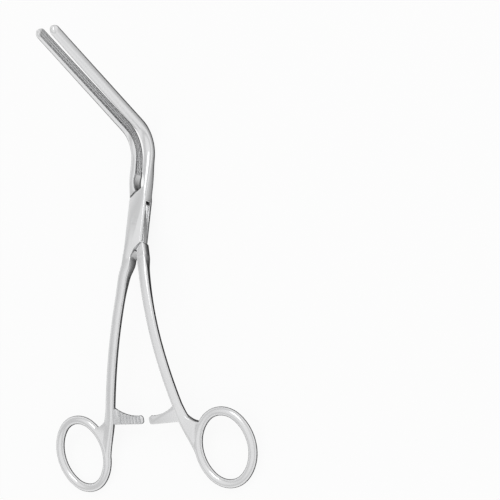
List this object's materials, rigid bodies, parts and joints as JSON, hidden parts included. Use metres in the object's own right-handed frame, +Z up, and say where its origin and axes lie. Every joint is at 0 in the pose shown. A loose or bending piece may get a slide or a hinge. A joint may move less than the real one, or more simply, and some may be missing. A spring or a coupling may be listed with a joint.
{
  "type": "vascular clamp",
  "caption": "Steel vascular clamp with a box lock, finger rings, a ratchet and long slender jaws bent out of the handle plane, with fine lengthwise toothed faces",
  "frame": {"origin": "middle of the bounding box, on the surface that the clamp lies on", "axes": "+Y from the rings towards the jaws, +X towards the half whose tongue runs through the box lock, +Z up, with the bent jaws pointing up"},
  "size_m": [0.108, 0.1935, 0.065],
  "materials": {
    "steel": "satin"
  },
  "bodies": {
    "box_side": {"box_half": "steel", "hinge_pin": "steel"},
    "tongue_side": {"tongue_half": "steel"}
  },
  "joints": [
    {"name": "box_lock", "type": "hinge", "parent": "box_side", "child": "tongue_side", "pos_m": [0, 0.02021, 0.00789], "axis": [0, 0.1802, 0.9836], "range_deg": [-5, 44]}
  ]
}
